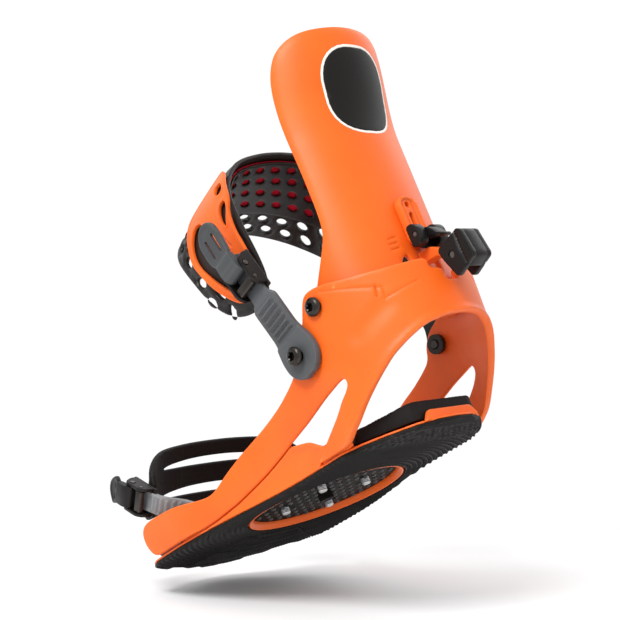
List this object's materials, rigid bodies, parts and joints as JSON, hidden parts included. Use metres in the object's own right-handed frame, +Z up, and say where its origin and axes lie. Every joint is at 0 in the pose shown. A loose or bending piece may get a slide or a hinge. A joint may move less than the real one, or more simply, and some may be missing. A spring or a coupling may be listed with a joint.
{
  "type": "snowboard strap binding",
  "caption": "Fast-entry snowboard binding: tray with turning disc, heel hoop, reclining highback with lean adjuster, ankle and toe straps with ratchet buckles.",
  "frame": {"origin": "centre of the stance disc on the plane of the sole, where the binding meets the board", "axes": "+X to the rider's right (the buckles of this left binding are on the -X side), +Y to the toe, +Z up off the board"},
  "size_m": [0.1762, 0.3215, 0.256],
  "materials": {
    "orange_nylon": "satin moulded nylon",
    "black_nylon": "satin moulded nylon",
    "grey_urethane": "matt, slightly flexible",
    "sole_rubber": "moulded tread",
    "strap_foam": "moulded EVA foam",
    "red_lining": "woven lining",
    "black_steel": "black zinc",
    "bright_steel": "bright zinc"
  },
  "bodies": {
    "base": {"baseplate": "orange_nylon", "sole_pad_front": "sole_rubber", "sole_pad_rear": "sole_rubber", "footbed_heel": "sole_rubber", "footbed_toe": "sole_rubber", "strut_bolt_left": "black_steel", "strut_bolt_right": "black_steel", "heelcup": "orange_nylon", "pivot_screw_left": "black_steel", "pivot_nut_left": "black_nylon", "strap_screw_left": "black_steel", "strap_nut_left": "black_nylon", "toe_screw_left": "black_steel", "pivot_screw_right": "black_steel", "pivot_nut_right": "black_nylon", "strap_screw_right": "black_steel", "strap_nut_right": "black_nylon", "toe_screw_right": "black_steel"},
    "ramp": {"toe_ramp": "black_nylon"},
    "disc": {"stance_disc": "black_nylon", "disc_screw_1": "bright_steel", "disc_screw_2": "bright_steel", "disc_screw_3": "bright_steel", "disc_screw_4": "bright_steel"},
    "highback_unit": {"highback": "orange_nylon", "highback_pad": "strap_foam", "lean_rail": "orange_nylon", "pedal_bracket": "orange_nylon", "pedal_pin": "bright_steel"},
    "lean_stop": {"lean_block": "black_nylon", "lean_pin": "bright_steel"},
    "lean_lock": {"lean_lever": "black_nylon"},
    "pedal": {"kick_pedal": "black_nylon"},
    "ankle_strap": {"ankle_ladder_left": "grey_urethane", "ankle_link_right": "black_nylon", "ankle_pad": "strap_foam", "ankle_liner": "red_lining", "ankle_frame": "orange_nylon", "ankle_ratchet_base": "black_nylon", "ankle_ratchet_pin": "bright_steel", "ankle_pawl_pin": "bright_steel"},
    "ankle_lever": {"ankle_ratchet_lever": "grey_urethane"},
    "ankle_catch": {"ankle_pawl": "black_steel"},
    "toe_strap": {"toe_ladder_left": "grey_urethane", "toe_link_right": "black_nylon", "toe_pad": "strap_foam", "toe_ratchet_base": "black_nylon", "toe_ratchet_pin": "bright_steel", "toe_pawl_pin": "bright_steel"},
    "toe_lever": {"toe_ratchet_lever": "grey_urethane"},
    "toe_catch": {"toe_pawl": "black_steel"}
  },
  "joints": [
    {"name": "highback_recline", "type": "hinge", "parent": "base", "child": "highback_unit", "pos_m": [0, -0.1115, 0.088], "axis": [1, 0, 0], "range_deg": [-12, 12]},
    {"name": "ankle_strap_swing", "type": "hinge", "parent": "base", "child": "ankle_strap", "pos_m": [0, -0.0905, 0.0664], "axis": [1, 0, 0], "range_deg": [-30, 3]},
    {"name": "toe_strap_swing", "type": "hinge", "parent": "base", "child": "toe_strap", "pos_m": [0, 0.05, 0.017], "axis": [1, 0, 0], "range_deg": [-3, 25]},
    {"name": "disc_turn", "type": "hinge", "parent": "base", "child": "disc", "pos_m": [0, 0, 0.008], "axis": [0, 0, 1], "continuous": true},
    {"name": "ramp_slide", "type": "slide", "parent": "base", "child": "ramp", "axis": [0, 1, 0], "range_m": [0, 0.01]},
    {"name": "lean_stop_slide", "type": "slide", "parent": "highback_unit", "child": "lean_stop", "axis": [0, 0, 1], "range_m": [0, 0.018]},
    {"name": "lean_lock_turn", "type": "hinge", "parent": "lean_stop", "child": "lean_lock", "pos_m": [0, -0.1621, 0.108], "axis": [1, 0, 0], "range_deg": [-45, 0]},
    {"name": "pedal_kick", "type": "hinge", "parent": "highback_unit", "child": "pedal", "pos_m": [0, -0.1781, 0.085], "axis": [1, 0, 0], "range_deg": [0, 10], "stiffness_Nm_per_rad": 0.2},
    {"name": "ankle_lever_lift", "type": "hinge", "parent": "ankle_strap", "child": "ankle_lever", "pos_m": [-0.08541, -0.08386, 0.12626], "axis": [0, -0.9744, 0.225], "range_deg": [0, 60]},
    {"name": "ankle_catch_turn", "type": "hinge", "parent": "ankle_strap", "child": "ankle_catch", "pos_m": [-0.08402, -0.08621, 0.11612], "axis": [0, -0.9744, 0.225], "range_deg": [0, 12], "stiffness_Nm_per_rad": 0.05},
    {"name": "toe_lever_lift", "type": "hinge", "parent": "toe_strap", "child": "toe_lever", "pos_m": [-0.08418, 0.08981, 0.0504], "axis": [0, -0.6428, 0.766], "range_deg": [0, 60]},
    {"name": "toe_catch_turn", "type": "hinge", "parent": "toe_strap", "child": "toe_catch", "pos_m": [-0.08484, 0.08177, 0.04366], "axis": [0, -0.6428, 0.766], "range_deg": [0, 12], "stiffness_Nm_per_rad": 0.05}
  ]
}
